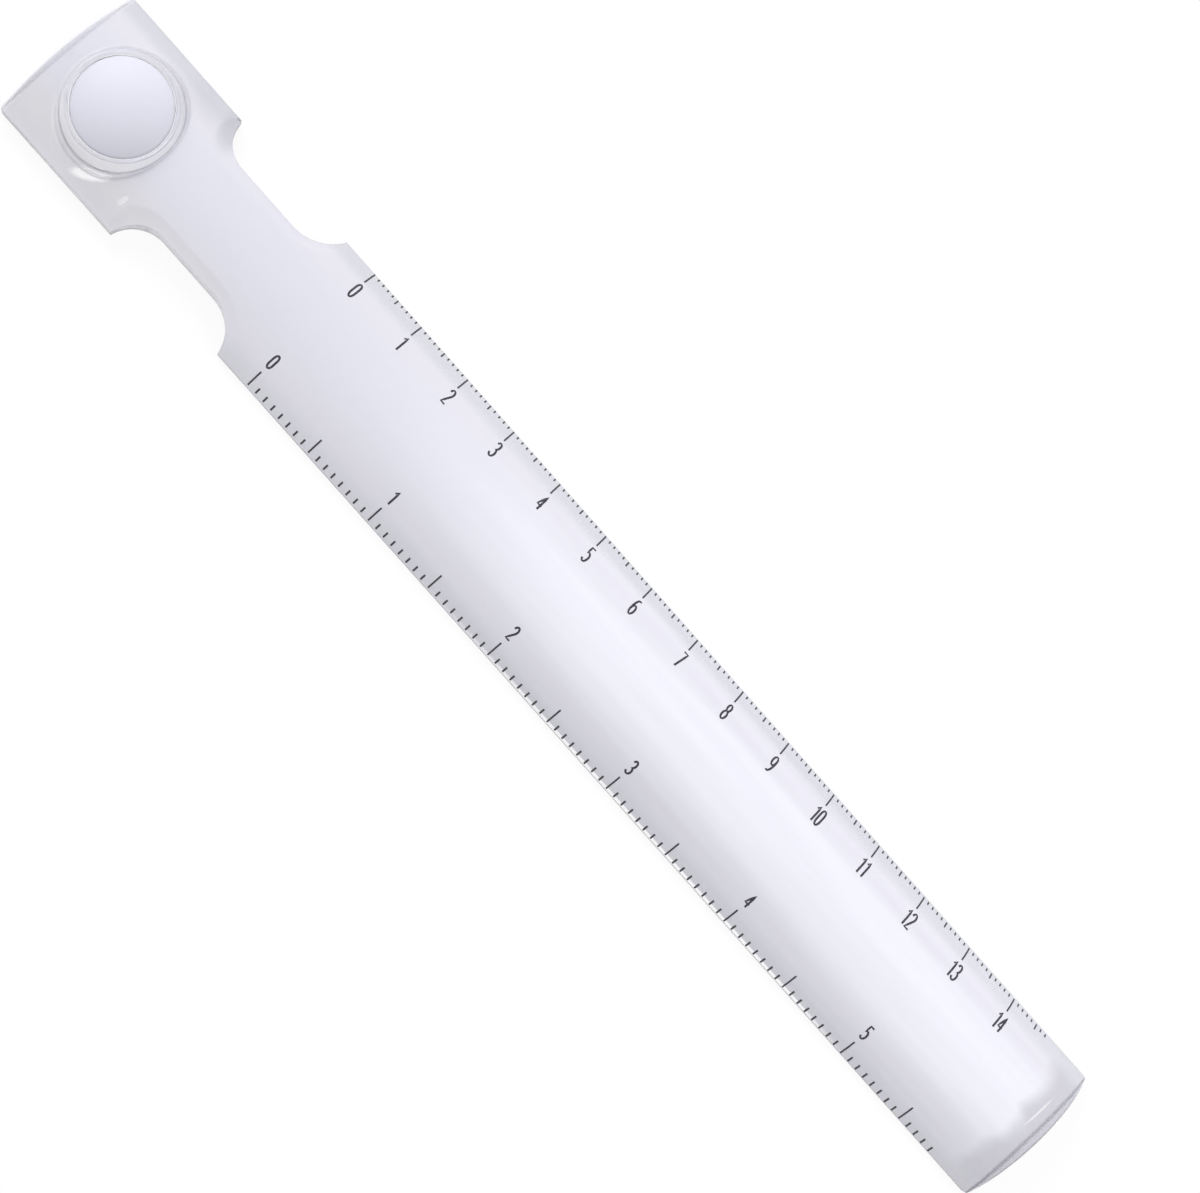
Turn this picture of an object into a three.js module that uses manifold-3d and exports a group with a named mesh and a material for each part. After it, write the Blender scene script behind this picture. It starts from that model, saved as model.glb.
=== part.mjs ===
// A bar magnifier: a long reading bar with a domed top and a flat underside, a waisted neck
// between two finger notches, and a square head that holds a small round dome lens.
// Millimetres, +Z up. The bar lies along X with its head at -X, and the origin is on the
// surface that it rests on, under the middle of its length.

import * as THREE from 'three';
import { mergeVertices } from 'three/addons/utils/BufferGeometryUtils.js';
import Module from 'manifold-3d';

const wasm = await Module();
wasm.setup();

// Driving sizes of the moulding
const headLength = 23.2;
const notchLength = 22.6;
const barLength = 162.1;
const barWidth = 24.6;
const crownHeight = 7.6;
const edgeThickness = 1.2;

// The waisted neck: its width, and the radius of each notch where it meets head and bar
const neckWidth = 14.8;
const headNotchRadius = 5.9;
const barNotchRadius = 6.6;

// The shallow scoop along the top edge of the notches: its width round the head's arc and along
// the neck, how far from the bar's edge it starts to run out, and its depth in shares of its width
const scoopWidth = 2.4;
const scoopNeckWidth = 1.6;
const scoopFade = 3.8;
const scoopDepthShare = 0.25;

// Rounding of the two end faces, and of the long edges of the underside
const endRound = 0.45;
const baseRound = 0.25;

// The lens: a dome on a cylinder, with a flange round its foot
const lensRadius = 7.2;
const lensDomeRadius = 16;
const lensEdgeHeight = 8.3;
const lensFlangeRadius = 8.0;
const lensFlangeHeight = 1.4;
const lensRecess = 0.3;
const lensFromHeadEnd = 12.0;
const seatClearance = 0.3;

// The collar round the lens: a round shoulder below its rim, and a foot that flares out into the
// head's curved top
const collarHeight = 8.5;
const collarRimWidth = 0.45;
const collarFootRadius = 10.7;
const collarFootHeight = 2.9;
const collarFootShares = { radius: 0.53, height: 0.09 };
const collarShoulderShare = 0.55;

// Marks that the ejector pins left in the underside of the head
const ejectorRadius = 1.15;
const ejectorDepth = 0.25;
const ejectorFromLens = 10.3;

// How finely the curves are divided
const crownSteps = 30;
const notchSteps = 10;
const scoopSteps = 6;
const roundSteps = 3;
const barSteps = 7;
const headSteps = 4;
const turnSteps = 64;
const domeSteps = 9;
const flareSteps = 12;

// How far a cutting tool runs past what it cuts, and how near two corners are one
const overrun = 1;
const weldDistance = 0.0001;

const overallLength = headLength + notchLength + barLength;
const halfWidth = barWidth / 2;
const neckHalf = neckWidth / 2;
const notchDepth = halfWidth - neckHalf;
const headEnd = -overallLength / 2;
const headCorner = headEnd + headLength;
const barCorner = headCorner + notchLength;
const barEnd = overallLength / 2;
const headTangent = headCorner + notchRun(headNotchRadius);
const barTangent = barCorner - notchRun(barNotchRadius);
const lensX = headEnd + lensFromHeadEnd;

// The crown is one arc across the bar, from edge to edge
const crownRise = crownHeight - edgeThickness;
const crownRadius = (halfWidth ** 2 + crownRise ** 2) / (2 * crownRise);

// The length along the bar that a notch's arc takes to reach from the neck to the bar's edge
function notchRun(radius) {
  return Math.sqrt(radius ** 2 - (radius - notchDepth) ** 2);
}

function crownAt(y) {
  return edgeThickness + Math.sqrt(crownRadius ** 2 - y ** 2) - (crownRadius - crownRise);
}

// The arc of the notch at this place along the bar, or nothing along the straight neck
function notchArc(x) {
  if (x < headTangent) return { x: headTangent, y: neckHalf + headNotchRadius, radius: headNotchRadius };
  if (x > barTangent) return { x: barTangent, y: neckHalf + barNotchRadius, radius: barNotchRadius };
  return null;
}

// Half the width of the bar, neck and head in plan
function halfWidthAt(x) {
  const arc = notchArc(x);
  if (!arc) return neckHalf;
  if (x < headCorner || x > barCorner) return halfWidth;
  return Math.min(halfWidth, arc.y - Math.sqrt(arc.radius ** 2 - (x - arc.x) ** 2));
}

// How far a point of the plan lies inside the notch's outline
function notchDistance(x, y) {
  const arc = notchArc(x);
  if (!arc) return neckHalf - Math.abs(y);
  return Math.hypot(x - arc.x, arc.y - Math.abs(y)) - arc.radius;
}

function share(value) {
  return Math.min(Math.max(value, 0), 1);
}

// How deep the scoop is here: steepest where it leaves the crown, level at the notch's outline
function scoopAt(x, y) {
  const fade = Math.sqrt(share((halfWidth - Math.abs(y)) / scoopFade));
  if (fade === 0) return 0;
  const swell = share((headTangent - x) / (headTangent - headCorner));
  const width = fade * (scoopNeckWidth + (scoopWidth - scoopNeckWidth) * swell);
  const reach = share(1 - notchDistance(x, y) / width);
  return scoopDepthShare * width * Math.sin((Math.PI / 2) * reach);
}

function topAt(x, y) {
  return crownAt(y) - scoopAt(x, y);
}

// One closed section across the moulding, drawn in all round by an inset near the ends
function sectionAt({ x, inset }) {
  const wide = halfWidthAt(x);
  const low = inset;
  const side = wide - inset;
  const ring = [
    new THREE.Vector3(x, -side + baseRound, low),
    new THREE.Vector3(x, side - baseRound, low),
    new THREE.Vector3(x, side, low + baseRound),
  ];
  for (let i = 0; i <= crownSteps; i += 1) {
    const across = Math.cos((Math.PI * i) / crownSteps);
    ring.push(new THREE.Vector3(x, side * across, topAt(x, wide * across) - inset));
  }
  ring.push(new THREE.Vector3(x, -side, low + baseRound));
  return ring;
}

function evenly(from, to, steps) {
  return Array.from({ length: steps }, (_, i) => from + ((to - from) * i) / steps);
}

// Places where a quarter round turns the sections in towards an end face
function roundedEnd(end, inward) {
  return evenly(0, Math.PI / 2, roundSteps).map((turn) => ({
    x: end + inward * endRound * (1 - Math.cos(turn)),
    inset: endRound * (1 - Math.sin(turn)),
  }));
}

// Places along a notch's arc, from the neck out to the corner
function alongArc(tangent, corner, radius) {
  const sweep = Math.asin((corner - tangent) / radius);
  return evenly(0, sweep, notchSteps).map((turn) => tangent + radius * Math.sin(turn));
}

// Places along the bar where a section is drawn, closer together where the plan or the top curves
function stations() {
  const places = [
    ...evenly(headEnd + endRound, headCorner - scoopWidth, headSteps),
    ...evenly(headCorner - scoopWidth, headCorner, scoopSteps),
    headCorner,
    ...alongArc(headTangent, headCorner, headNotchRadius).reverse(),
    ...alongArc(barTangent, barCorner, barNotchRadius),
    ...evenly(barCorner, barCorner + scoopNeckWidth, scoopSteps),
    ...evenly(barCorner + scoopNeckWidth, barEnd - endRound, barSteps),
    barEnd - endRound,
  ];
  return [
    ...roundedEnd(headEnd, 1),
    ...places.map((x) => ({ x, inset: 0 })),
    ...roundedEnd(barEnd, -1).reverse(),
  ];
}

// A skin over a row of sections that all have the same number of points, closed at both ends
function loft(rings) {
  const count = rings[0].length;
  const positions = rings.flat().flatMap((point) => point.toArray());
  const faces = [];
  for (let i = 0; i + 1 < rings.length; i += 1) {
    for (let j = 0; j < count; j += 1) {
      const a = i * count + j;
      const b = i * count + ((j + 1) % count);
      faces.push(a, b, a + count, b, b + count, a + count);
    }
  }
  const last = (rings.length - 1) * count;
  for (let j = 1; j + 1 < count; j += 1) {
    faces.push(0, j + 1, j);
    faces.push(last, last + j, last + j + 1);
  }
  const geometry = new THREE.BufferGeometry();
  geometry.setAttribute('position', new THREE.Float32BufferAttribute(positions, 3));
  geometry.setIndex(faces);
  return geometry;
}

// A revolved shape about the lens's axis, from a profile of radius and height
function revolve(profile) {
  const geometry = new THREE.LatheGeometry(profile, turnSteps);
  geometry.rotateX(Math.PI / 2);
  geometry.translate(lensX, 0, 0);
  return geometry;
}

// A round tool that stands on end at a place along the bar's middle line
function drill(x, radius, low, high) {
  const geometry = new THREE.CylinderGeometry(radius, radius, high - low, turnSteps);
  geometry.rotateX(Math.PI / 2);
  geometry.translate(x, 0, (low + high) / 2);
  return geometry;
}

function solid(geometry) {
  const bare = geometry.clone();
  bare.deleteAttribute('normal');
  bare.deleteAttribute('uv');
  const merged = mergeVertices(bare, weldDistance);
  return new wasm.Manifold(new wasm.Mesh({
    numProp: 3,
    vertProperties: new Float32Array(merged.attributes.position.array),
    triVerts: new Uint32Array(merged.index.array),
  }));
}

function geometryOf(body) {
  const mesh = body.getMesh();
  const geometry = new THREE.BufferGeometry();
  geometry.setAttribute('position', new THREE.BufferAttribute(mesh.vertProperties, 3));
  geometry.setIndex(new THREE.BufferAttribute(mesh.triVerts, 1));
  geometry.computeVertexNormals();
  return geometry;
}

// The collar's solid: a flat rim, and one curve from the foot up round the shoulder
function collarGeometry() {
  const rimRadius = lensRadius + seatClearance + collarRimWidth;
  const flare = collarFootRadius - rimRadius;
  const rise = collarHeight - collarFootHeight;
  const curve = new THREE.CubicBezierCurve(
    new THREE.Vector2(collarFootRadius, collarFootHeight),
    new THREE.Vector2(
      rimRadius + flare * collarFootShares.radius,
      collarFootHeight + rise * collarFootShares.height,
    ),
    new THREE.Vector2(rimRadius + flare * collarShoulderShare, collarHeight),
    new THREE.Vector2(rimRadius, collarHeight),
  );
  return revolve([
    new THREE.Vector2(0, edgeThickness),
    new THREE.Vector2(collarFootRadius, edgeThickness),
    ...curve.getPoints(flareSteps),
    new THREE.Vector2(0, collarHeight),
  ]);
}

function mouldedBar() {
  const boreRadius = lensRadius + seatClearance;
  const seatRadius = lensFlangeRadius + seatClearance;
  const seatHeight = lensRecess + lensFlangeHeight + seatClearance;
  let body = solid(loft(stations().map(sectionAt)));
  body = body.add(solid(collarGeometry()));
  body = body.subtract(solid(drill(lensX, boreRadius, -overrun, collarHeight + overrun)));
  body = body.subtract(solid(drill(lensX, seatRadius, -overrun, seatHeight)));
  for (const side of [-1, 1]) {
    const x = lensX + side * ejectorFromLens;
    body = body.subtract(solid(drill(x, ejectorRadius, -overrun, ejectorDepth)));
  }
  return geometryOf(body);
}

function spotLens() {
  const slope = Math.asin(lensRadius / lensDomeRadius);
  const domeCentre = lensEdgeHeight - lensDomeRadius * Math.cos(slope);
  const profile = [
    new THREE.Vector2(0, lensRecess),
    new THREE.Vector2(lensFlangeRadius, lensRecess),
    new THREE.Vector2(lensFlangeRadius, lensRecess + lensFlangeHeight),
    new THREE.Vector2(lensRadius, lensRecess + lensFlangeHeight),
  ];
  for (let i = 0; i < domeSteps; i += 1) {
    const turn = slope * (1 - i / domeSteps);
    profile.push(new THREE.Vector2(
      lensDomeRadius * Math.sin(turn),
      domeCentre + lensDomeRadius * Math.cos(turn),
    ));
  }
  profile.push(new THREE.Vector2(0, domeCentre + lensDomeRadius));
  return geometryOf(solid(revolve(profile)));
}

const clearAcrylic = new THREE.MeshStandardMaterial({
  color: '#e9e9f4', roughness: 0.3, metalness: 0, transparent: true, opacity: 0.6,
});
const polishedAcrylic = new THREE.MeshStandardMaterial({
  color: '#eef0fa', roughness: 0.05, metalness: 0, transparent: true, opacity: 0.4,
});

function named(name, geometry, material) {
  const mesh = new THREE.Mesh(geometry, material);
  mesh.name = name;
  return mesh;
}

const magnifier = new THREE.Group();
magnifier.add(named('moulded_bar', mouldedBar(), clearAcrylic));
magnifier.add(named('spot_lens', spotLens(), polishedAcrylic));

export default magnifier;
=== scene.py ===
import math

import bmesh
import bpy
from mathutils import Matrix, Vector


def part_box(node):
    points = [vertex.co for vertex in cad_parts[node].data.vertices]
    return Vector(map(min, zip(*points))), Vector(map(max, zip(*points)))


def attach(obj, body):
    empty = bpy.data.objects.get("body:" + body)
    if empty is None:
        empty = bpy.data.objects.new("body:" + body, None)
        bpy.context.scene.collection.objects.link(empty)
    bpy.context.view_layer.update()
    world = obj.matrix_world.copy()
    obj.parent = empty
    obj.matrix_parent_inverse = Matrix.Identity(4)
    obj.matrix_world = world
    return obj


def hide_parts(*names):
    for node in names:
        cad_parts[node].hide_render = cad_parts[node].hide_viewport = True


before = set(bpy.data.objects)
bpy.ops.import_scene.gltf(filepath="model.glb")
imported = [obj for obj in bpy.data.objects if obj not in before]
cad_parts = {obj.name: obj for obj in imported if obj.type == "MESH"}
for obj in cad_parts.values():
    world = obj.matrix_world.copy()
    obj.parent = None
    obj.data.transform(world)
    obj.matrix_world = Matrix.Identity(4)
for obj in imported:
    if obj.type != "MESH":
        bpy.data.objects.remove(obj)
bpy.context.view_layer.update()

mm = 0.001  # the meshes are drawn in millimetres and scaled to metres at the end
tolerance = 1e-4  # corners that are closer than this, in millimetres, are one
acrylicIor = 1.49  # how strongly acrylic refracts


# What the frame gives, in millimetres
def frameBox(node):
    low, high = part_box(node)
    return low / mm, high / mm


barLow, barHigh = frameBox("moulded_bar")
lensLow, lensHigh = frameBox("spot_lens")
lensX = (lensLow.x + lensHigh.x) / 2


# Colours are written as sRGB hex and turned linear here
def colour(hexText):
    def linear(value):
        return value / 12.92 if value <= 0.04045 else ((value + 0.055) / 1.055) ** 2.4
    parts = [int(hexText[i:i + 2], 16) / 255 for i in (1, 3, 5)]
    return [linear(part) for part in parts] + [1.0]


# Adds a node, sets its properties and sockets, and links what is given as a socket or as a node
def node(tree, kind, settings=None, **sockets):
    made = tree.nodes.new(kind)
    for key, value in (settings or {}).items():
        setattr(made, key, value)
    for key, value in sockets.items():
        name = key.replace("_", " ")
        numbered = name[0] == "n" and name[1:].isdigit()  # n0 is the first socket
        target = made.inputs[int(name[1:]) if numbered else name]
        if isinstance(value, bpy.types.Node):
            value = value.outputs[0]
        if isinstance(value, bpy.types.NodeSocket):
            tree.links.new(value, target)
        else:
            target.default_value = value
    return made


def newMaterial(name):
    material = bpy.data.materials.new(name)
    material.use_nodes = True
    tree = material.node_tree
    tree.nodes.clear()
    return material, tree


def drop(distance, radius):  # how far a quarter round falls below its flat, this far from the edge
    inside = min(max(radius - distance, 0), radius)
    return radius - math.sqrt(radius ** 2 - inside ** 2)


def smoothMax(a, b, blend):  # the larger of the two, with a soft fillet where they meet
    overlap = max(blend - abs(a - b), 0) / blend
    return max(a, b) + overlap * overlap * blend / 4


def finishMesh(bm, name, sharpAngle):  # turns a bmesh drawn in millimetres into an object in metres
    bmesh.ops.scale(bm, vec=(mm, mm, mm), verts=bm.verts[:])
    mesh = bpy.data.meshes.new(name)
    bm.to_mesh(mesh)
    bm.free()
    mesh.shade_smooth()
    mesh.set_sharp_from_angle(angle=math.radians(sharpAngle))
    piece = bpy.data.objects.new(name, mesh)
    bpy.context.scene.collection.objects.link(piece)
    return piece


# The moulding, in millimetres; its length, width and collar height come from the frame
barShape = {
    "headLength": 23.2, "notchLength": 22.6, "neckWidth": 14.8,
    "headNotchRadius": 5.9, "barNotchRadius": 6.6,
    "crownHeight": 7.6, "edgeThickness": 1.2,
    "scoopWidth": 2.4, "scoopNeckWidth": 1.6, "scoopFade": 3.8, "scoopDepthShare": 0.25,
    "endRound": 0.45, "sideRound": 0.15, "baseRound": 0.25, "cornerRound": 0.6,
    "boreRadius": 7.35, "rimWidth": 0.5, "rimRound": 0.22, "rimSteps": 5,
    "seatRadius": 8.3, "seatHeight": 2.0,
    "footRadius": 10.7, "footHeight": 2.9, "footBlend": 2.5,
    "footRadiusShare": 0.34, "footHeightShare": 0.09, "shoulderShare": 0.26, "rimRings": 4,
    "ejectorRadius": 1.15, "ejectorDepth": 0.25, "ejectorFromLens": 10.3, "ejectorSteps": 72,
    "sideSteps": 96, "headRings": 52, "arcSteps": 34, "neckSteps": 8, "barSteps": 48, "sharpAngle": 38,
}

halfWidth = barHigh.y
neckHalf = barShape["neckWidth"] / 2
headEnd, barEnd = barLow.x, barHigh.x
headCorner = headEnd + barShape["headLength"]
barCorner = headCorner + barShape["notchLength"]
crownRise = barShape["crownHeight"] - barShape["edgeThickness"]
crownRadius = (halfWidth ** 2 + crownRise ** 2) / (2 * crownRise)
crownCentre = barShape["crownHeight"] - crownRadius


def notchRun(radius):  # how far an arc of this radius runs along the bar, from its corner to the neck
    return math.sqrt(radius ** 2 - (radius - (halfWidth - neckHalf)) ** 2)


headTangent = headCorner + notchRun(barShape["headNotchRadius"])
barTangent = barCorner - notchRun(barShape["barNotchRadius"])


def crownAt(y):
    return crownCentre + math.sqrt(crownRadius ** 2 - y ** 2)


def notchArc(x):  # centre and radius of the notch's arc here, or nothing along the straight neck
    if x < headTangent:
        return headTangent, neckHalf + barShape["headNotchRadius"], barShape["headNotchRadius"]
    if x > barTangent:
        return barTangent, neckHalf + barShape["barNotchRadius"], barShape["barNotchRadius"]
    return None


def halfWidthAt(x):  # half the plan's width along the neck and the bar
    arc = notchArc(x)
    if arc is None:
        return neckHalf
    if x <= headCorner or x >= barCorner:
        return halfWidth - drop(barEnd - x, barShape["cornerRound"])
    arcX, arcY, radius = arc
    return min(halfWidth, arcY - math.sqrt(radius ** 2 - (x - arcX) ** 2))


def notchDistance(x, y):  # how far a place is from the notch's edge
    arc = notchArc(x)
    if arc is None:
        return neckHalf - abs(y)
    arcX, arcY, radius = arc
    return math.hypot(x - arcX, arcY - abs(y)) - radius


def flareAt(distance):  # the collar's height: one cubic curve from its foot up round the shoulder
    shape = barShape
    rim = shape["boreRadius"] + shape["rimWidth"]
    spread = shape["footRadius"] - rim
    rise = barHigh.z - shape["footHeight"]
    bends = (rim + spread * shape["footRadiusShare"], rim + spread * shape["shoulderShare"])
    radii = (shape["footRadius"], *bends, rim)
    foot = shape["footHeight"]
    heights = (foot, foot + rise * shape["footHeightShare"], barHigh.z, barHigh.z)

    def cubic(ends, t):
        back = 1 - t
        return back ** 3 * ends[0] + 3 * back * t * (back * ends[1] + t * ends[2]) + t ** 3 * ends[3]

    low, high = 0.0, 1.0
    for _ in range(24):  # halving finds the place on the curve that is this far out
        middle = (low + high) / 2
        if cubic(radii, middle) > distance:
            low = middle
        else:
            high = middle
    return cubic(heights, low)


# The shallow scoop along each notch's edge: widest round the head's arc, it runs out at the corners
def scoopAt(x, y):
    shape = barShape
    fade = math.sqrt(min(max(halfWidth - abs(y), 0) / shape["scoopFade"], 1))
    if fade == 0:
        return 0
    swell = min(max((headTangent - x) / (headTangent - headCorner), 0), 1)
    width = fade * (shape["scoopNeckWidth"] + (shape["scoopWidth"] - shape["scoopNeckWidth"]) * swell)
    reach = min(max(1 - notchDistance(x, y) / width, 0), 1)
    return shape["scoopDepthShare"] * width * math.sin(math.pi / 2 * reach)


def topAt(x, y):
    top = crownAt(y)
    fromLens = math.hypot(x - lensX, y)
    if x < headTangent:
        top = smoothMax(top, flareAt(fromLens), barShape["footBlend"])
    top -= scoopAt(x, y)
    if x <= headCorner or x >= barCorner:
        top -= drop(halfWidth - abs(y), barShape["sideRound"])
    top -= drop(x - headEnd, barShape["endRound"]) + drop(barEnd - x, barShape["endRound"])
    return top


def baseAt(x, y):
    return drop(min(halfWidthAt(x) - abs(y), x - headEnd, barEnd - x), barShape["baseRound"])


def headReach(direction):  # from the lens's axis to the head's outline, rounded at its two end corners
    across = (headCorner if direction.x > 0 else headEnd) - lensX
    toEnd = across / direction.x if direction.x else math.inf
    toSide = halfWidth / abs(direction.y) if direction.y else math.inf
    reach = min(toEnd, toSide)
    corner = Vector((headEnd - lensX + barShape["cornerRound"], halfWidth - barShape["cornerRound"]))
    ray = Vector((direction.x, abs(direction.y)))
    if reach * ray.x < corner.x and reach * ray.y > corner.y:
        along = ray.dot(corner)
        reach = along + math.sqrt(along ** 2 - corner.length_squared + barShape["cornerRound"] ** 2)
    return reach


def headPoint(k):  # places round the head's outline, closer together near its corners
    side, step = divmod(k, barShape["sideSteps"])
    swing = math.cos(math.pi * step / barShape["sideSteps"])
    middle = Vector(((headEnd + headCorner) / 2 - lensX, 0))
    half = Vector(((headCorner - headEnd) / 2, halfWidth))
    turned = [(1, -swing), (swing, 1), (-1, swing), (-swing, -1)][side]
    return middle + Vector((half.x * turned[0], half.y * turned[1]))


def newVerts(geometry):
    return {item for item in geometry if isinstance(item, bmesh.types.BMVert)}


def growEdges(bm, edges, place):  # extrudes a row of edges and puts each new corner where place says
    grown = bmesh.ops.extrude_edge_only(bm, edges=edges)["geom"]
    corners = newVerts(grown)
    for vert in corners:
        vert.co = place(vert.co)
    return [item for item in grown if isinstance(item, bmesh.types.BMEdge)
            and all(vert in corners for vert in item.verts)]


def barStations():  # where the neck and the bar have a row of corners
    shape = barShape
    headRadius, barRadius = shape["headNotchRadius"], shape["barNotchRadius"]
    headArc = math.asin((headTangent - headCorner) / headRadius)
    barArc = math.asin((barCorner - barTangent) / barRadius)
    steps = shape["arcSteps"]
    stations = [headTangent - headRadius * math.sin(headArc * (1 - i / steps))
                for i in range(1, steps + 1)]
    run = barTangent - headTangent
    stations += [headTangent + run * i / shape["neckSteps"] for i in range(1, shape["neckSteps"])]
    stations += [barTangent + barRadius * math.sin(barArc * i / steps) for i in range(steps + 1)]
    length = barEnd - barCorner
    for i in range(1, shape["barSteps"] + 1):  # closer together at both ends of the bar
        stations.append(barCorner + length * (1 - math.cos(math.pi * i / shape["barSteps"])) / 2)
    return stations


def makeBar():
    shape = barShape
    bm = bmesh.new()
    count = 4 * shape["sideSteps"]
    ring = bmesh.ops.create_circle(bm, segments=count, radius=shape["seatRadius"])["verts"]
    for k, vert in enumerate(ring):
        vert.co = (headPoint(k).normalized() * shape["seatRadius"]).to_3d()
    edges = bm.edges[:]

    # The head: rings that grow from the lens's seat to the head's outline
    nearest = headCorner - lensX
    for i in range(1, shape["headRings"] + 1):
        share = math.sin(math.pi / 2 * i / shape["headRings"])

        def ringPlace(co):
            direction = Vector((co.x, co.y)).normalized()
            reach = shape["seatRadius"] + share * (nearest - shape["seatRadius"])
            reach += share ** 3 * (headReach(direction) - nearest)
            return (direction * reach).to_3d()
        edges = growEdges(bm, edges, ringPlace)
    bmesh.ops.translate(bm, vec=(lensX, 0, 0), verts=bm.verts[:])

    # The neck and the bar: the head's last row runs on, as wide as the plan is there
    row = [edge for edge in edges if all(v.co.x > headCorner - tolerance for v in edge.verts)]
    lastX = headCorner
    for x in barStations():
        widening = halfWidthAt(x) / halfWidthAt(lastX)
        row = growEdges(bm, row, lambda co: Vector((x, co.y * widening, 0)))
        lastX = x

    # The flat plan gets its thickness: the copy becomes the crown, the first sheet the underside
    grown = newVerts(bmesh.ops.extrude_face_region(bm, geom=bm.faces[:])["geom"])
    for vert in bm.verts:
        vert.co.z = topAt(vert.co.x, vert.co.y) if vert in grown else baseAt(vert.co.x, vert.co.y)

    # Inside the collar: over the rim, down the bore and out to the lens's seat
    def fromAxis(vert):
        return math.hypot(vert.co.x - lensX, vert.co.y)

    inner = {v for v in bm.verts if fromAxis(v) < shape["seatRadius"] + tolerance}
    wall = [face for face in bm.faces if all(v in inner for v in face.verts)]
    bmesh.ops.delete(bm, geom=wall, context="FACES_ONLY")
    edges = [e for e in bm.edges if e.is_boundary and all(v in inner and v in grown for v in e.verts)]
    rimOut = shape["boreRadius"] + shape["rimWidth"]
    curl = shape["rimRound"]
    rings = shape["rimRings"]
    profile = [(shape["seatRadius"] - (shape["seatRadius"] - rimOut) * i / rings, None)
               for i in range(1, rings + 1)]
    for i in range(shape["rimSteps"] + 1):
        turn = math.pi / 2 * i / shape["rimSteps"]
        inset = shape["boreRadius"] + curl * (1 - math.sin(turn))
        profile.append((inset, barHigh.z - curl * (1 - math.cos(turn))))
    profile += [(shape["boreRadius"], shape["seatHeight"]), (shape["seatRadius"], shape["seatHeight"]),
                (shape["seatRadius"], 0)]
    for radius, height in profile:
        def profilePlace(co):
            direction = Vector((co.x - lensX, co.y)).normalized() * radius
            x, y = lensX + direction.x, direction.y
            return Vector((x, y, topAt(x, y) if height is None else height))
        edges = growEdges(bm, edges, profilePlace)
    bmesh.ops.remove_doubles(bm, verts=bm.verts[:], dist=tolerance)
    bmesh.ops.recalc_face_normals(bm, faces=bm.faces[:])
    return finishMesh(bm, "clear_moulding", shape["sharpAngle"])


def markEjectors(piece):  # the two ejector pins left round marks in the underside of the head
    shape = barShape
    bm = bmesh.new()
    for side in (-1, 1):
        pin = bmesh.ops.create_cone(bm, cap_ends=True, segments=shape["ejectorSteps"],
                                    radius1=shape["ejectorRadius"], radius2=shape["ejectorRadius"],
                                    depth=2 * shape["ejectorDepth"])
        bmesh.ops.translate(bm, vec=(lensX + side * shape["ejectorFromLens"], 0, 0), verts=pin["verts"])
    pins = finishMesh(bm, "ejector_pins", shape["sharpAngle"])
    cut = piece.modifiers.new("ejector_marks", "BOOLEAN")
    cut.operation = "DIFFERENCE"
    cut.object = pins
    marked = bpy.data.meshes.new_from_object(piece.evaluated_get(bpy.context.evaluated_depsgraph_get()))
    piece.modifiers.clear()
    piece.data = marked
    marked.set_sharp_from_angle(angle=math.radians(shape["sharpAngle"]))
    bpy.data.objects.remove(pins)


# The lens: a dome on a cylinder with a flange round its foot
lensShape = {
    "radius": 7.3, "edgeHeight": 8.3, "flangeTop": 1.7, "edgeRound": 0.08,
    "domeSteps": 24, "turnSteps": 160, "sharpAngle": 38,
}


def makeLens():
    shape = lensShape
    flange = (lensHigh.x - lensLow.x) / 2
    rise = lensHigh.z - shape["edgeHeight"]
    domeRadius = (shape["radius"] ** 2 + rise ** 2) / (2 * rise)
    slope = math.asin(shape["radius"] / domeRadius)
    curl = shape["edgeRound"]
    profile = [(0, lensLow.z), (flange - curl, lensLow.z), (flange, lensLow.z + curl),
               (flange, shape["flangeTop"] - curl), (flange - curl, shape["flangeTop"]),
               (shape["radius"], shape["flangeTop"]), (shape["radius"], shape["edgeHeight"] - curl)]
    for i in range(shape["domeSteps"] + 1):
        turn = slope * (1 - i / shape["domeSteps"]) * (1 - curl / shape["radius"])
        profile.append((domeRadius * math.sin(turn), lensHigh.z - domeRadius * (1 - math.cos(turn))))
    bm = bmesh.new()
    verts = [bm.verts.new((lensX + radius, 0, height)) for radius, height in profile]
    edges = [bm.edges.new(pair) for pair in zip(verts, verts[1:])]
    bmesh.ops.spin(bm, geom=verts + edges, cent=(lensX, 0, 0), axis=(0, 0, 1), angle=math.tau,
                   steps=shape["turnSteps"], use_merge=True)
    bmesh.ops.remove_doubles(bm, verts=bm.verts[:], dist=tolerance)
    bmesh.ops.recalc_face_normals(bm, faces=bm.faces[:])
    return finishMesh(bm, "dome_lens", shape["sharpAngle"])


# The printed scales, in millimetres: a place across is an arc length over the crown from its middle line
printShape = {
    "zeroX": -52.056, "uprightX": -25.0, "stroke": 0.33, "skew": 0.003,
    "inkThickness": 0.024, "inkLift": 0.004, "longestPiece": 0.8,
    "digitWidth": 0.77, "digitGap": 0.17, "shift": 0.12, "sharpAngle": 60,
}
cmScale = {
    "side": 1, "pitch": 1.0, "count": 147, "half": 5, "whole": 10,
    "edge": 14.3, "short": 13.5, "middle": 12.85, "long": 10.8,
    "shortStroke": 0.25, "longStroke": 0.26, "lean": 0.0003,
    "digitFoot": 6.83, "digitTop": 9.95,
}
inchScale = {
    "side": -1, "pitch": 25.63 / 16, "count": 92, "half": 8, "whole": 16,
    "edge": 13.9, "short": 12.6, "middle": 10.45, "long": 10.45,
    "shortStroke": 0.3, "longStroke": 0.27, "lean": 0.0008,
    "digitFoot": -9.25, "digitTop": -6.75,
}


def arcShares(x, y, wide, tall, start, end, pieces=10):
    turns = [math.radians(start + (end - start) * i / pieces) for i in range(pieces + 1)]
    return [(x + wide * math.cos(turn), y + tall * math.sin(turn)) for turn in turns]


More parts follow.
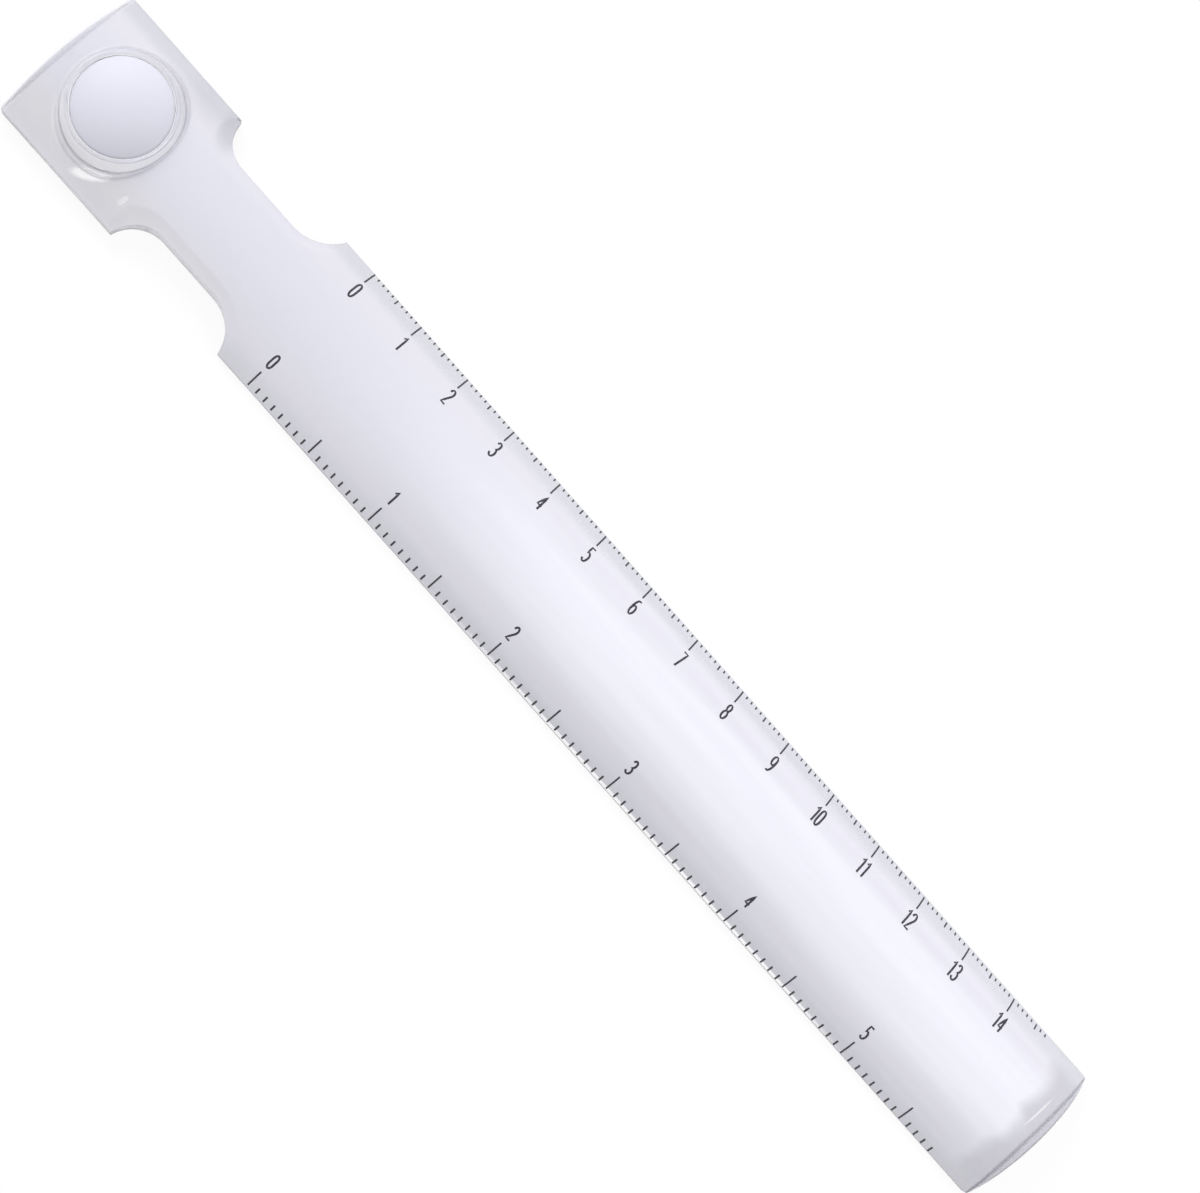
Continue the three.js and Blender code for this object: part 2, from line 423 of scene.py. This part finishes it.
# Plain condensed figures, each a few pen strokes in a box of width 1 and height 1
digitShares = {
    "0": [arcShares(0.5, 0.7, 0.46, 0.3, 0, 180) + arcShares(0.5, 0.3, 0.46, 0.3, 180, 360)
          + [(0.96, 0.7)]],
    "1": [[(0.1, 0.78), (0.6, 1.0), (0.6, 0.0)]],
    "2": [arcShares(0.5, 0.74, 0.46, 0.26, 170, -35) + [(0.02, 0.0), (1.0, 0.0)]],
    "3": [arcShares(0.46, 0.75, 0.44, 0.25, 160, -90) + arcShares(0.46, 0.26, 0.52, 0.26, 80, -160)],
    "4": [[(0.74, 0.0), (0.74, 1.0), (0.0, 0.28), (1.05, 0.28)]],
    "5": [[(0.95, 1.0), (0.16, 1.0)] + arcShares(0.44, 0.31, 0.52, 0.31, 128, -150)],
    "6": [arcShares(0.62, 0.5, 0.6, 0.5, 68, 180) + arcShares(0.5, 0.3, 0.48, 0.3, 180, 540)],
    "7": [[(0.0, 1.0), (1.0, 1.0), (0.36, 0.0)]],
    "8": [arcShares(0.5, 0.76, 0.42, 0.24, -90, 270), arcShares(0.5, 0.27, 0.5, 0.27, 90, 450)],
    "9": [arcShares(0.38, 0.5, 0.6, 0.5, 248, 360) + arcShares(0.5, 0.7, 0.48, 0.3, 0, 360)],
}


def addStroke(curve, corners, width):  # in short pieces, so that it follows the crown
    points = [Vector(corners[0])]
    for corner in corners[1:]:
        start, end = points[-1], Vector(corner)
        pieces = max(1, math.ceil((end - start).length / printShape["longestPiece"]))
        points += [start.lerp(end, i / pieces) for i in range(1, pieces + 1)]
    spline = curve.splines.new("POLY")
    spline.points.add(len(points) - 1)
    for point, (x, arc) in zip(spline.points, points):
        point.co = (x, arc, 0, 1)
        point.radius = width


def addNumber(curve, text, x, foot, top):
    shape = printShape
    step = shape["digitWidth"] + shape["digitGap"]
    left = x - (len(text) * step - shape["digitGap"]) / 2 + shape["shift"]
    for i, letter in enumerate(text):
        for stroke in digitShares[letter]:
            points = [(left + i * step + share * shape["digitWidth"], foot + (top - foot) * height)
                      for share, height in stroke]
            addStroke(curve, points, shape["stroke"])


def makePrint(name, scale):
    shape = printShape
    curve = bpy.data.curves.new(name, "CURVE")
    curve.dimensions = "3D"
    curve.twist_mode = "Z_UP"
    curve.bevel_depth = 0.5  # a point's radius is then the stroke's width
    curve.bevel_resolution = 2
    curve.use_fill_caps = True
    for i in range(scale["count"] + 1):
        x = shape["zeroX"] + i * scale["pitch"]
        whole, half = i % scale["whole"] == 0, i % scale["half"] == 0
        inner = scale["long"] if whole else scale["middle"] if half else scale["short"]
        ends = [(x, scale["side"] * scale["edge"]), (x, scale["side"] * inner)]
        addStroke(curve, ends, scale["longStroke"] if whole or half else scale["shortStroke"])
        if whole:
            addNumber(curve, str(i // scale["whole"]), x, scale["digitFoot"], scale["digitTop"])
    drawing = bpy.data.objects.new(name + "_strokes", curve)
    bpy.context.scene.collection.objects.link(drawing)
    drawn = drawing.evaluated_get(bpy.context.evaluated_depsgraph_get())
    bm = bmesh.new()
    bm.from_mesh(bpy.data.meshes.new_from_object(drawn))
    bpy.data.objects.remove(drawing)
    halfInk = shape["inkThickness"] / 2
    for vert in bm.verts:  # pressed flat, and wrapped over the crown, a little askew as it was printed
        flattened = shape["inkThickness"] / shape["stroke"] * vert.co.z
        flattened = max(min(flattened, halfInk), -halfInk)
        radius = crownRadius + shape["inkLift"] + halfInk + flattened
        vert.co.x -= scale["lean"] * (vert.co.x - shape["uprightX"]) * (scale["edge"] - abs(vert.co.y))
        turn = (vert.co.y - shape["skew"] * (vert.co.x - shape["zeroX"])) / crownRadius
        vert.co.y = radius * math.sin(turn)
        vert.co.z = crownCentre + radius * math.cos(turn)
    bmesh.ops.recalc_face_normals(bm, faces=bm.faces[:])
    return finishMesh(bm, name, shape["sharpAngle"])


# Clear acrylic as it comes from the mould: spark-eroded satin at the head and the far end, clear along
# the bar. A mask has what it reads, where it starts and ends in millimetres, or in steepness, where a
# level face is 1, and its values there. An oval has its place from the lens's axis, its half length and
# half width, its turn in degrees and its strength. The grain is drawn coarser than a spark-eroded one,
# which would be too fine to show.
acrylicLook = {
    "clearColour": "#DFDFEA", "satinColour": "#CFCFDD", "edgeShadeColour": "#D2D1DC", "farShadeColour": "#B7B6C0",
    "warmLightColour": "#D3D0D0", "sideShadeColour": "#C2C2CB", "shadeColour": "#A9A9B2", "flankLightColour": "#F4F4FA",
    # The moulding's wall colour is painted shade at the foot of the outer walls
    "polishedAndGlintColour": "#FBFBFD", "wallColour": "#A3A3AC",
    "finishes": {  # on clear, satin and polished faces
        "Roughness": (0.09, 0.27, 0.1),
        "Transmission Weight": (0.44, 0.64, 1.0),
    },
    "grainSize": 0.35, "grainHeight": 0.02,
    "flowAcross": 2.2, "flowAlong": 34.0, "flowHeight": 0.02, "streakSheen": 0.08,
    "raggedSize": 6.0, "raggedShift": 3.0,
    "farSatin": 5.2, "farFade": 3.4, "farShare": 0.7,
    "tongueMiddle": -1.7, "tongueHalf": (1.6, 3.6), "tongueReach": 1.3,
    "seatReach": (8.4, 8.8), "lowFaces": (0.45, 0.65),
    "masks": {
        "nearSatin": ("along", -58.0, 14.0, 1, 0.03),
        # Painted shade: the crown is tinted greyer from here out towards both side edges
        "towardEdgeShade": ("sideways", 3.5, 8.0, 0, 1),
        "inCollar": ("radius", 7.45, 7.95, 1, 0),
        "steepInCollar": ("level", 0.5, 0.85, 1, 0),
        "steepWall": ("level", 0.2, 0.55, 1, 0),
        "lowOnWall": ("height", 1.0, 1.8, 1, 0),
        "offHeadEnd": ("along", headEnd, headEnd + 0.6, 0, 1),
        "offBarEnd": ("along", barEnd - 0.3, barEnd - 0.1, 1, 0),
        # Painted highlight: a bright clear line along the inch scale's edge, over part of the bar
        "edgeGlintLine": ("across", -11.95, -11.8, 1, 0),
        "edgeGlintFrom": ("along", -20.0, 15.0, 0, 1),
        "edgeGlintTo": ("along", 64.0, 78.0, 1, 0),
        "polishedEnd": ("along", barEnd - 0.3, barEnd - 0.1, 0, 0.8),
        # Painted light: the collar's lower flank and both ends are tinted lighter
        "flankRing": ("radius", 9.3, 10.4, 1, 0),
        "flankSlope": ("level", 0.72, 0.97, 0.6, 0),
        "flankSide": ("across", 7.0, 1.0, 0, 1),
        "litHeadEnd": ("along", headEnd, headEnd + 1.2, 0.6, 0),
        "litBarEnd": ("along", barEnd - 0.3, barEnd - 0.1, 0, 0.6),
        # Painted shade: the crown is darker near both side edges, more so at the far side
        "backSideShade": ("across", 8.8, 11.0, 0, 1),
        "frontSideShade": ("across", -8.6, -12.0, 0, 0.6),
        # Painted warm light: the head's lower side is tinted warmer and more neutral
        "warmLightHead": ("along", -66.0, -60.0, 1, 0),
        "warmLightSide": ("across", -2.5, -8.0, 0, 0.4),
    },
    "glints": (
        (3.6, -9.15, 3.2, 0.95, 34, 1.0),
        (9.4, -8.25, 0.55, 1.0, -10, 0.35),
        (192.8, 2.8, 0.2, 3.2, -4, 0.55),
    ),
    "glintFade": (0.5, 1.15),
    "shades": (
        (7.0, 10.0, 4.6, 2.2, -12, 0.35),
        (11.5, 9.9, 3.2, 1.9, -55, 0.75),
    ),
    "shadeFade": (0.3, 1.5),
}


def mouldedAcrylic():
    look = acrylicLook
    material, tree = newMaterial("injection_moulded_acrylic")
    times, less = {"operation": "MULTIPLY"}, {"operation": "SUBTRACT"}
    most, unsigned = {"operation": "MAXIMUM"}, {"operation": "ABSOLUTE"}
    smooth = {"interpolation_type": "SMOOTHSTEP"}

    # What the masks read: the place, the distance from the lens's axis, and how level the face is
    spot = node(tree, "ShaderNodeTexCoord").outputs
    place = spot["Object"]
    along, across, height = node(tree, "ShaderNodeSeparateXYZ", Vector=place).outputs
    sideways = node(tree, "ShaderNodeMath", unsigned, n0=across)
    fromAxis = node(tree, "ShaderNodeVectorMath", less, n0=place, n1=(lensX * mm, 0, 0))
    onPlan = node(tree, "ShaderNodeVectorMath", times, n0=fromAxis, n1=(1, 1, 0))
    radius = node(tree, "ShaderNodeVectorMath", {"operation": "LENGTH"}, n0=onPlan).outputs["Value"]
    upward = node(tree, "ShaderNodeSeparateXYZ", Vector=spot["Normal"]).outputs["Z"]
    level = node(tree, "ShaderNodeMath", unsigned, n0=upward)
    sources = {
        "along": (along, mm), "across": (across, mm), "sideways": (sideways, mm),
        "height": (height, mm), "radius": (radius, mm), "level": (level, 1),
    }
    masks = {}
    for name, (source, start, end, low, high) in look["masks"].items():
        value, unit = sources[source]
        masks[name] = node(tree, "ShaderNodeMapRange", smooth, Value=value, From_Min=start * unit,
                           From_Max=end * unit, To_Min=low, To_Max=high)

    # Satin near the head, and at the far end with a ragged border that a tongue of clear acrylic enters
    ragged = node(tree, "ShaderNodeTexNoise", Vector=place, Scale=1 / (look["raggedSize"] * mm),
                  Detail=1.0)
    shifted = node(tree, "ShaderNodeMath", {"operation": "MULTIPLY_ADD"}, n0=ragged,
                   n1=look["raggedShift"] * mm, n2=along)
    tongueSide = node(tree, "ShaderNodeMath", less, n0=across, n1=look["tongueMiddle"] * mm)
    tongueSide = node(tree, "ShaderNodeMath", unsigned, n0=tongueSide)
    start, end = look["tongueHalf"]
    tongue = node(tree, "ShaderNodeMapRange", smooth, Value=tongueSide, From_Min=start * mm,
                  From_Max=end * mm, To_Min=look["tongueReach"] * mm, To_Max=0)
    shifted = node(tree, "ShaderNodeMath", less, n0=shifted, n1=tongue)
    # Besides being satin, the far band is tinted darker as painted shade
    farStart = barEnd - look["farSatin"]
    farSatinAndShade = node(tree, "ShaderNodeMapRange", smooth, Value=shifted, From_Min=farStart * mm,
                  From_Max=(farStart + look["farFade"]) * mm)
    farSatin = node(tree, "ShaderNodeMath", times, n0=farSatinAndShade, n1=look["farShare"])
    satin = node(tree, "ShaderNodeMath", most, n0=masks["nearSatin"], n1=farSatin)

    # The bore, the underside and the far end are polished; a stretch of the inch scale's edge is made
    # clear as a painted highlight
    draft = node(tree, "ShaderNodeMath", times, n0=masks["inCollar"], n1=masks["steepInCollar"])
    outside = node(tree, "ShaderNodeMath", less, n0=1.0, n1=masks["inCollar"])
    wall = node(tree, "ShaderNodeMath", times, n0=outside, n1=masks["steepWall"])
    # Painted shade: the outer walls are darker near the floor, away from the end faces
    wallFootShade = wall
    for name in ("lowOnWall", "offHeadEnd", "offBarEnd"):
        wallFootShade = node(tree, "ShaderNodeMath", times, n0=wallFootShade, n1=masks[name])
    start, end = look["seatReach"]
    seat = node(tree, "ShaderNodeMapRange", smooth, Value=radius, From_Min=start * mm,
                From_Max=end * mm, To_Min=barShape["seatHeight"] * mm, To_Max=0)
    lift = node(tree, "ShaderNodeMath", less, n0=height, n1=seat)
    start, end = look["lowFaces"]
    lowFace = node(tree, "ShaderNodeMapRange", smooth, Value=lift, From_Min=start * mm,
                   From_Max=end * mm, To_Min=1, To_Max=0)
    edgeGlint = node(tree, "ShaderNodeMath", times, n0=masks["edgeGlintLine"], n1=masks["edgeGlintFrom"])
    edgeGlint = node(tree, "ShaderNodeMath", times, n0=edgeGlint, n1=masks["edgeGlintTo"])
    polishedAndGlints = node(tree, "ShaderNodeMath", most, n0=draft, n1=edgeGlint)
    polishedAndGlints = node(tree, "ShaderNodeMath", most, n0=polishedAndGlints, n1=lowFace)
    notWall = node(tree, "ShaderNodeMath", less, n0=1.0, n1=wall)
    polishedAndGlints = node(tree, "ShaderNodeMath", times, n0=polishedAndGlints, n1=notWall)
    polishedAndGlints = node(tree, "ShaderNodeMath", most, n0=polishedAndGlints, n1=masks["polishedEnd"])

    def ovals(rows, fade):  # soft patches, the strongest of them at each place
        strongest = 0.0
        for x, y, halfLength, halfAcross, turn, strength in rows:
            oval = node(tree, "ShaderNodeMapping", {"vector_type": "TEXTURE"}, Vector=onPlan,
                        Location=(x * mm, y * mm, 0), Rotation=(0, 0, math.radians(turn)),
                        Scale=(halfLength * mm, halfAcross * mm, 1))
            reach = node(tree, "ShaderNodeVectorMath", {"operation": "LENGTH"}, n0=oval).outputs["Value"]
            patch = node(tree, "ShaderNodeMapRange", smooth, Value=reach, From_Min=fade[0],
                         From_Max=fade[1], To_Min=strength, To_Max=0)
            strongest = node(tree, "ShaderNodeMath", most, n0=strongest, n1=patch)
        return strongest

    # Painted highlights: light that the lens and the bar throw is drawn as clear ovals. Painted shade: a
    # shaded corner by a notch is drawn as grey ones
    thrown = ovals(look["glints"], look["glintFade"])
    # The painted highlights join the polished faces and take their near-white tint and finish
    polishedAndGlints = node(tree, "ShaderNodeMath", most, n0=polishedAndGlints, n1=thrown)
    shaded = ovals(look["shades"], look["shadeFade"])
    # Painted light on the collar's lower flank and at both ends
    litFlank = node(tree, "ShaderNodeMath", times, n0=masks["flankRing"], n1=masks["flankSlope"])
    litFlank = node(tree, "ShaderNodeMath", times, n0=litFlank, n1=masks["flankSide"])
    for name in ("litHeadEnd", "litBarEnd"):
        litFlank = node(tree, "ShaderNodeMath", most, n0=litFlank, n1=masks[name])
    sideShade = node(tree, "ShaderNodeMath", most, n0=masks["backSideShade"], n1=masks["frontSideShade"])
    warmLight = node(tree, "ShaderNodeMath", times, n0=masks["warmLightHead"], n1=masks["warmLightSide"])

    tint = colour(look["clearColour"])
    layers = {
        "satinColour": satin, "edgeShadeColour": masks["towardEdgeShade"], "farShadeColour": farSatinAndShade, "warmLightColour": warmLight,
        "sideShadeColour": sideShade, "shadeColour": shaded, "flankLightColour": litFlank, "polishedAndGlintColour": polishedAndGlints,
        "wallColour": wallFootShade,
    }
    for name, share in layers.items():
        tint = node(tree, "ShaderNodeMix", {"data_type": "RGBA"}, n0=share, n6=tint,
                    n7=colour(look[name])).outputs[2]

    # A fine grain where it is satin, and streaks of flow along the bar, whose lighter and darker bands on
    # the clear crown are partly painted sheen
    grain = node(tree, "ShaderNodeTexNoise", Vector=place, Scale=1 / (look["grainSize"] * mm), Detail=2.0)
    stretch = (look["flowAcross"] / look["flowAlong"], 1, 1)
    streaked = node(tree, "ShaderNodeMapping", Vector=place, Scale=stretch)
    flow = node(tree, "ShaderNodeTexNoise", Vector=streaked, Scale=1 / (look["flowAcross"] * mm),
                Detail=1.0)
    flowBump = node(tree, "ShaderNodeBump", Height=flow, Distance=look["flowHeight"] * mm)
    grainShare = node(tree, "ShaderNodeMath", {**less, "use_clamp": True}, n0=satin, n1=polishedAndGlints)
    grainBump = node(tree, "ShaderNodeBump", Height=grain, Strength=grainShare,
                     Distance=look["grainHeight"] * mm, Normal=flowBump)
    flowSheen = node(tree, "ShaderNodeMapRange", Value=flow, To_Min=1 - look["streakSheen"],
                      To_Max=1 + look["streakSheen"])
    calmed = node(tree, "ShaderNodeMix", n0=satin, n2=flowSheen, n3=1.0)
    streaky = node(tree, "ShaderNodeHueSaturation", Color=tint, Value=calmed)
    shader = node(tree, "ShaderNodeBsdfPrincipled", Base_Color=streaky, IOR=acrylicIor, Normal=grainBump)
    for socket, (onClear, onSatin, onPolished) in look["finishes"].items():
        moulded = node(tree, "ShaderNodeMapRange", Value=satin, To_Min=onClear, To_Max=onSatin)
        finish = node(tree, "ShaderNodeMix", n0=polishedAndGlints, n2=moulded, n3=onPolished)
        tree.links.new(finish.outputs[0], shader.inputs[socket])
    node(tree, "ShaderNodeOutputMaterial", Surface=shader)
    return material


# Polished acrylic of the lens: clear through, with a trace of waviness from the mould and of dust
lensLook = {
    "domeColour": "#CACAD6", "wallColour": "#FAFAFC", "domeTransmission": 0.1, "wallTransmission": 1.0,
    "wallFade": 0.2, "roughness": (0.072, 0.192), "dustSize": 0.3, "waveSize": 5.0, "waveHeight": 0.004,
}


def polishedAcrylic():
    look = lensLook
    material, tree = newMaterial("polished_lens_acrylic")
    place = node(tree, "ShaderNodeTexCoord").outputs["Object"]
    wave = node(tree, "ShaderNodeTexNoise", Vector=place, Scale=1 / (look["waveSize"] * mm), Detail=0.0)
    bump = node(tree, "ShaderNodeBump", Height=wave, Distance=look["waveHeight"] * mm)
    dust = node(tree, "ShaderNodeTexNoise", Vector=place, Scale=1 / (look["dustSize"] * mm), Detail=2.0)
    cleanest, dustiest = look["roughness"]
    rough = node(tree, "ShaderNodeMapRange", Value=dust, To_Min=cleanest, To_Max=dustiest)
    height = node(tree, "ShaderNodeSeparateXYZ", Vector=place).outputs["Z"]
    domeFoot = lensShape["edgeHeight"]
    onDome = node(tree, "ShaderNodeMapRange", Value=height, From_Min=(domeFoot - look["wallFade"]) * mm,
                  From_Max=domeFoot * mm)
    passing = node(tree, "ShaderNodeMix", n0=onDome, n2=look["wallTransmission"],
                   n3=look["domeTransmission"])
    tint = node(tree, "ShaderNodeMix", {"data_type": "RGBA"}, n0=onDome,
                n6=colour(look["wallColour"]), n7=colour(look["domeColour"])).outputs[2]
    shader = node(tree, "ShaderNodeBsdfPrincipled", Base_Color=tint, IOR=acrylicIor, Roughness=rough,
                  Transmission_Weight=passing, Normal=bump)
    node(tree, "ShaderNodeOutputMaterial", Surface=shader)
    return material


# Pad-printed ink: near black, a little thin and mottled where the pad pressed lightly
inkLook = {
    "dense": "#1F1E25", "thin": "#484751", "roughness": 0.5,
    "mottleSize": 0.22, "mottleHeight": 0.004, "thinning": (0.42, 0.75),
}


def padPrintedInk():
    look = inkLook
    material, tree = newMaterial("pad_printed_ink")
    place = node(tree, "ShaderNodeTexCoord").outputs["Object"]
    mottle = node(tree, "ShaderNodeTexNoise", Vector=place, Scale=1 / (look["mottleSize"] * mm),
                  Detail=2.0)
    start, end = look["thinning"]
    thinned = node(tree, "ShaderNodeMapRange", Value=mottle, From_Min=start, From_Max=end)
    tint = node(tree, "ShaderNodeMix", {"data_type": "RGBA"}, n0=thinned,
                n6=colour(look["dense"]), n7=colour(look["thin"])).outputs[2]
    bump = node(tree, "ShaderNodeBump", Height=mottle, Distance=look["mottleHeight"] * mm)
    shader = node(tree, "ShaderNodeBsdfPrincipled", Base_Color=tint, Roughness=look["roughness"],
                  Normal=bump)
    node(tree, "ShaderNodeOutputMaterial", Surface=shader)
    return material


print("modelling the moulding")
bar = makeBar()
markEjectors(bar)
bar.data.materials.append(mouldedAcrylic())
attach(bar, "root")
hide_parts("moulded_bar")

print("turning the lens")
lens = makeLens()
lens.data.materials.append(polishedAcrylic())
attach(lens, "root")
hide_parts("spot_lens")

print("printing the scales")
ink = padPrintedInk()
for name, scale in (("cm_scale_print", cmScale), ("inch_scale_print", inchScale)):
    printed = makePrint(name, scale)
    printed.data.materials.append(ink)
    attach(printed, "root")


# The stage, in metres: a pale floor, a white surround, two soft lamps and the photograph's camera
stage = {
    "floorSize": 3.0, "floorGap": 0.0002, "floorColour": "#F2F2F4", "floorGlow": 0.93, "ambient": 0.4,
}
white = colour("#FFFFFF")


def seenRays(tree):  # 1 for rays that the camera, a reflection or a refraction sends
    path = node(tree, "ShaderNodeLightPath").outputs
    seen = path["Is Camera Ray"]
    for kind in ("Is Glossy Ray", "Is Transmission Ray"):
        seen = node(tree, "ShaderNodeMath", {"operation": "MAXIMUM"}, n0=seen, n1=path[kind])
    return seen


def makeFloor():  # matt white card, which the camera sees as nearly white and which keeps the shadow
    bm = bmesh.new()
    bmesh.ops.create_grid(bm, x_segments=4, y_segments=4, size=stage["floorSize"] / 2)
    bmesh.ops.translate(bm, vec=(0, 0, -stage["floorGap"]), verts=bm.verts[:])
    mesh = bpy.data.meshes.new("floor")
    bm.to_mesh(mesh)
    bm.free()
    floor = bpy.data.objects.new("floor", mesh)
    bpy.context.scene.collection.objects.link(floor)
    material, tree = newMaterial("white_card")
    card = node(tree, "ShaderNodeBsdfDiffuse", Color=colour(stage["floorColour"]))
    glow = node(tree, "ShaderNodeEmission", Color=white, Strength=1.0)
    share = node(tree, "ShaderNodeMath", {"operation": "MULTIPLY"}, n0=seenRays(tree),
                 n1=stage["floorGlow"])
    shown = node(tree, "ShaderNodeMixShader", n0=share, n1=card, n2=glow)
    node(tree, "ShaderNodeOutputMaterial", Surface=shown)
    mesh.materials.append(material)


def makeWorld():
    world = bpy.data.worlds.new("white_surround")
    world.use_nodes = True
    tree = world.node_tree
    tree.nodes.clear()
    strength = node(tree, "ShaderNodeMapRange", Value=seenRays(tree), To_Min=stage["ambient"], To_Max=1.0)
    light = node(tree, "ShaderNodeBackground", Color=white, Strength=strength)
    node(tree, "ShaderNodeOutputWorld", Surface=light)
    bpy.context.scene.world = world


# Square soft panels: where each stands and aims, its side in metres and its power in watts
lamps = {
    "key_panel": {"place": (-0.9, 0.47, 0.72), "aim": (0.0, 0.0, 0.0), "side": 0.8, "power": 17.0},
    "far_fill": {"place": (0.34, 0.16, 0.4), "aim": (0.1, 0.0, 0.0), "side": 0.4, "power": 1.5},
}


def makeLamp(name, lamp):
    light = bpy.data.lights.new(name, "AREA")
    light.shape = "SQUARE"
    light.size = lamp["side"]
    light.energy = lamp["power"]
    made = bpy.data.objects.new(name, light)
    bpy.context.scene.collection.objects.link(made)
    back = (Vector(lamp["place"]) - Vector(lamp["aim"])).normalized()
    made.rotation_euler = back.to_track_quat("Z", "Y").to_euler()
    made.location = lamp["place"]
    made.visible_glossy = False
    made.visible_transmission = False


# The camera as the scale and the outline in the photograph place it, in millimetres and degrees
cameraPlace = {
    "place": (-19.79, -55.35, 409.03), "aim": (3.87, 5.89, 0.0), "turn": 47.962,
    "lens": 86.08, "sensor": 36.0,
}


def makeCamera():
    place, aim = Vector(cameraPlace["place"]) * mm, Vector(cameraPlace["aim"]) * mm
    back = (place - aim).normalized()
    side = Vector((0, 1, 0)).cross(back).normalized()
    level = Matrix((side, back.cross(side), back)).transposed()
    turned = Matrix.Rotation(math.radians(cameraPlace["turn"]), 3, back) @ level
    data = bpy.data.cameras.new("camera")
    data.lens = cameraPlace["lens"]
    data.sensor_width = cameraPlace["sensor"]
    data.sensor_fit = "HORIZONTAL"
    camera = bpy.data.objects.new("camera", data)
    bpy.context.scene.collection.objects.link(camera)
    camera.matrix_world = Matrix.Translation(place) @ turned.to_4x4()
    bpy.context.scene.camera = camera


print("setting the stage")
makeFloor()
makeWorld()
for name, lamp in lamps.items():
    makeLamp(name, lamp)
makeCamera()
bpy.context.scene.view_settings.view_transform = "Standard"
